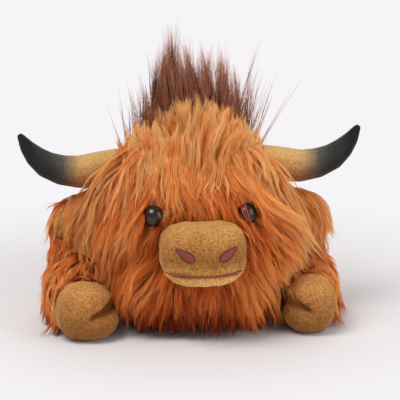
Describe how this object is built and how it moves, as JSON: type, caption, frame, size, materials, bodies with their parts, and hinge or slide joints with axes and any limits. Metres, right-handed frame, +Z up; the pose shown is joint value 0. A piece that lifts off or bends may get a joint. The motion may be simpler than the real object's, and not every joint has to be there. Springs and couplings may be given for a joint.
{
  "type": "plush cow",
  "caption": "Long-haired plush highland cow lying on its belly, with curved stuffed horns, drooping ears, a short-pile muzzle and cloven hooves.",
  "frame": {"origin": "under the middle of the toy's outer box, on the surface that it lies on", "axes": "the cow faces -Y, its left side is +X and up is +Z"},
  "size_m": [0.2458, 0.269, 0.2129],
  "materials": {
    "long_pile_ginger": "silky long-pile faux fur",
    "long_pile_brown": "silky long-pile faux fur",
    "velboa_tan": "short brushed pile",
    "horn_plush": "short pile, airbrushed dark toward the tip",
    "embroidery_thread": "rayon thread",
    "eye_plastic": "polished",
    "washer_plastic": "moulded",
    "polyester_fibre": "loose fibre fill",
    "pouch_cotton": "plain cotton filled with plastic pellets"
  },
  "bodies": {
    "torso": {"body_cover": "long_pile_ginger", "body_stuffing": "polyester_fibre", "pellet_pouch": "pouch_cotton"},
    "head": {"head_cover": "long_pile_ginger", "head_stuffing": "polyester_fibre", "crest": "long_pile_brown", "muzzle": "velboa_tan", "lower_lip": "velboa_tan", "mouth_stitching": "embroidery_thread", "nostril_left": "embroidery_thread", "nostril_right": "embroidery_thread", "eye_left": "eye_plastic", "eye_right": "eye_plastic", "eye_washer_left": "washer_plastic", "eye_washer_right": "washer_plastic", "horn_left": "horn_plush", "horn_right": "horn_plush"},
    "left_ear": {"ear_left": "long_pile_ginger", "ear_lining_left": "velboa_tan"},
    "right_ear": {"ear_right": "long_pile_ginger", "ear_lining_right": "velboa_tan"},
    "left_foreleg": {"front_leg_left": "long_pile_ginger", "front_hoof_left": "velboa_tan"},
    "right_foreleg": {"front_leg_right": "long_pile_ginger", "front_hoof_right": "velboa_tan"},
    "left_hind_leg": {"hind_leg_left": "long_pile_ginger", "hind_hoof_left": "velboa_tan"},
    "right_hind_leg": {"hind_leg_right": "long_pile_ginger", "hind_hoof_right": "velboa_tan"},
    "tail": {"tail": "long_pile_ginger", "tail_tuft": "long_pile_brown"}
  },
  "joints": [
    {"name": "head_nod", "type": "hinge", "parent": "torso", "child": "head", "pos_m": [0, 0.01194, 0.062], "axis": [-1, 0, 0], "range_deg": [0, 15]},
    {"name": "left_ear_lift", "type": "hinge", "parent": "head", "child": "left_ear", "pos_m": [0.06677, -0.02909, 0.08721], "axis": [0, -1, 0], "range_deg": [0, 25]},
    {"name": "right_ear_lift", "type": "hinge", "parent": "head", "child": "right_ear", "pos_m": [-0.06677, -0.02909, 0.08721], "axis": [0, 1, 0], "range_deg": [0, 25]},
    {"name": "left_foreleg_splay", "type": "hinge", "parent": "torso", "child": "left_foreleg", "pos_m": [0.05797, 0.02894, 0.024], "axis": [0, 0, 1], "range_deg": [0, 25]},
    {"name": "right_foreleg_splay", "type": "hinge", "parent": "torso", "child": "right_foreleg", "pos_m": [-0.05797, 0.02894, 0.024], "axis": [0, 0, -1], "range_deg": [0, 25]},
    {"name": "left_hind_leg_splay", "type": "hinge", "parent": "torso", "child": "left_hind_leg", "pos_m": [0.03951, 0.07574, 0.023], "axis": [0, 0, -1], "range_deg": [0, 20]},
    {"name": "right_hind_leg_splay", "type": "hinge", "parent": "torso", "child": "right_hind_leg", "pos_m": [-0.03951, 0.07574, 0.023], "axis": [0, 0, 1], "range_deg": [0, 20]},
    {"name": "tail_lift", "type": "hinge", "parent": "torso", "child": "tail", "pos_m": [0, 0.1133, 0.05535], "axis": [1, 0, 0], "range_deg": [0, 80]}
  ]
}
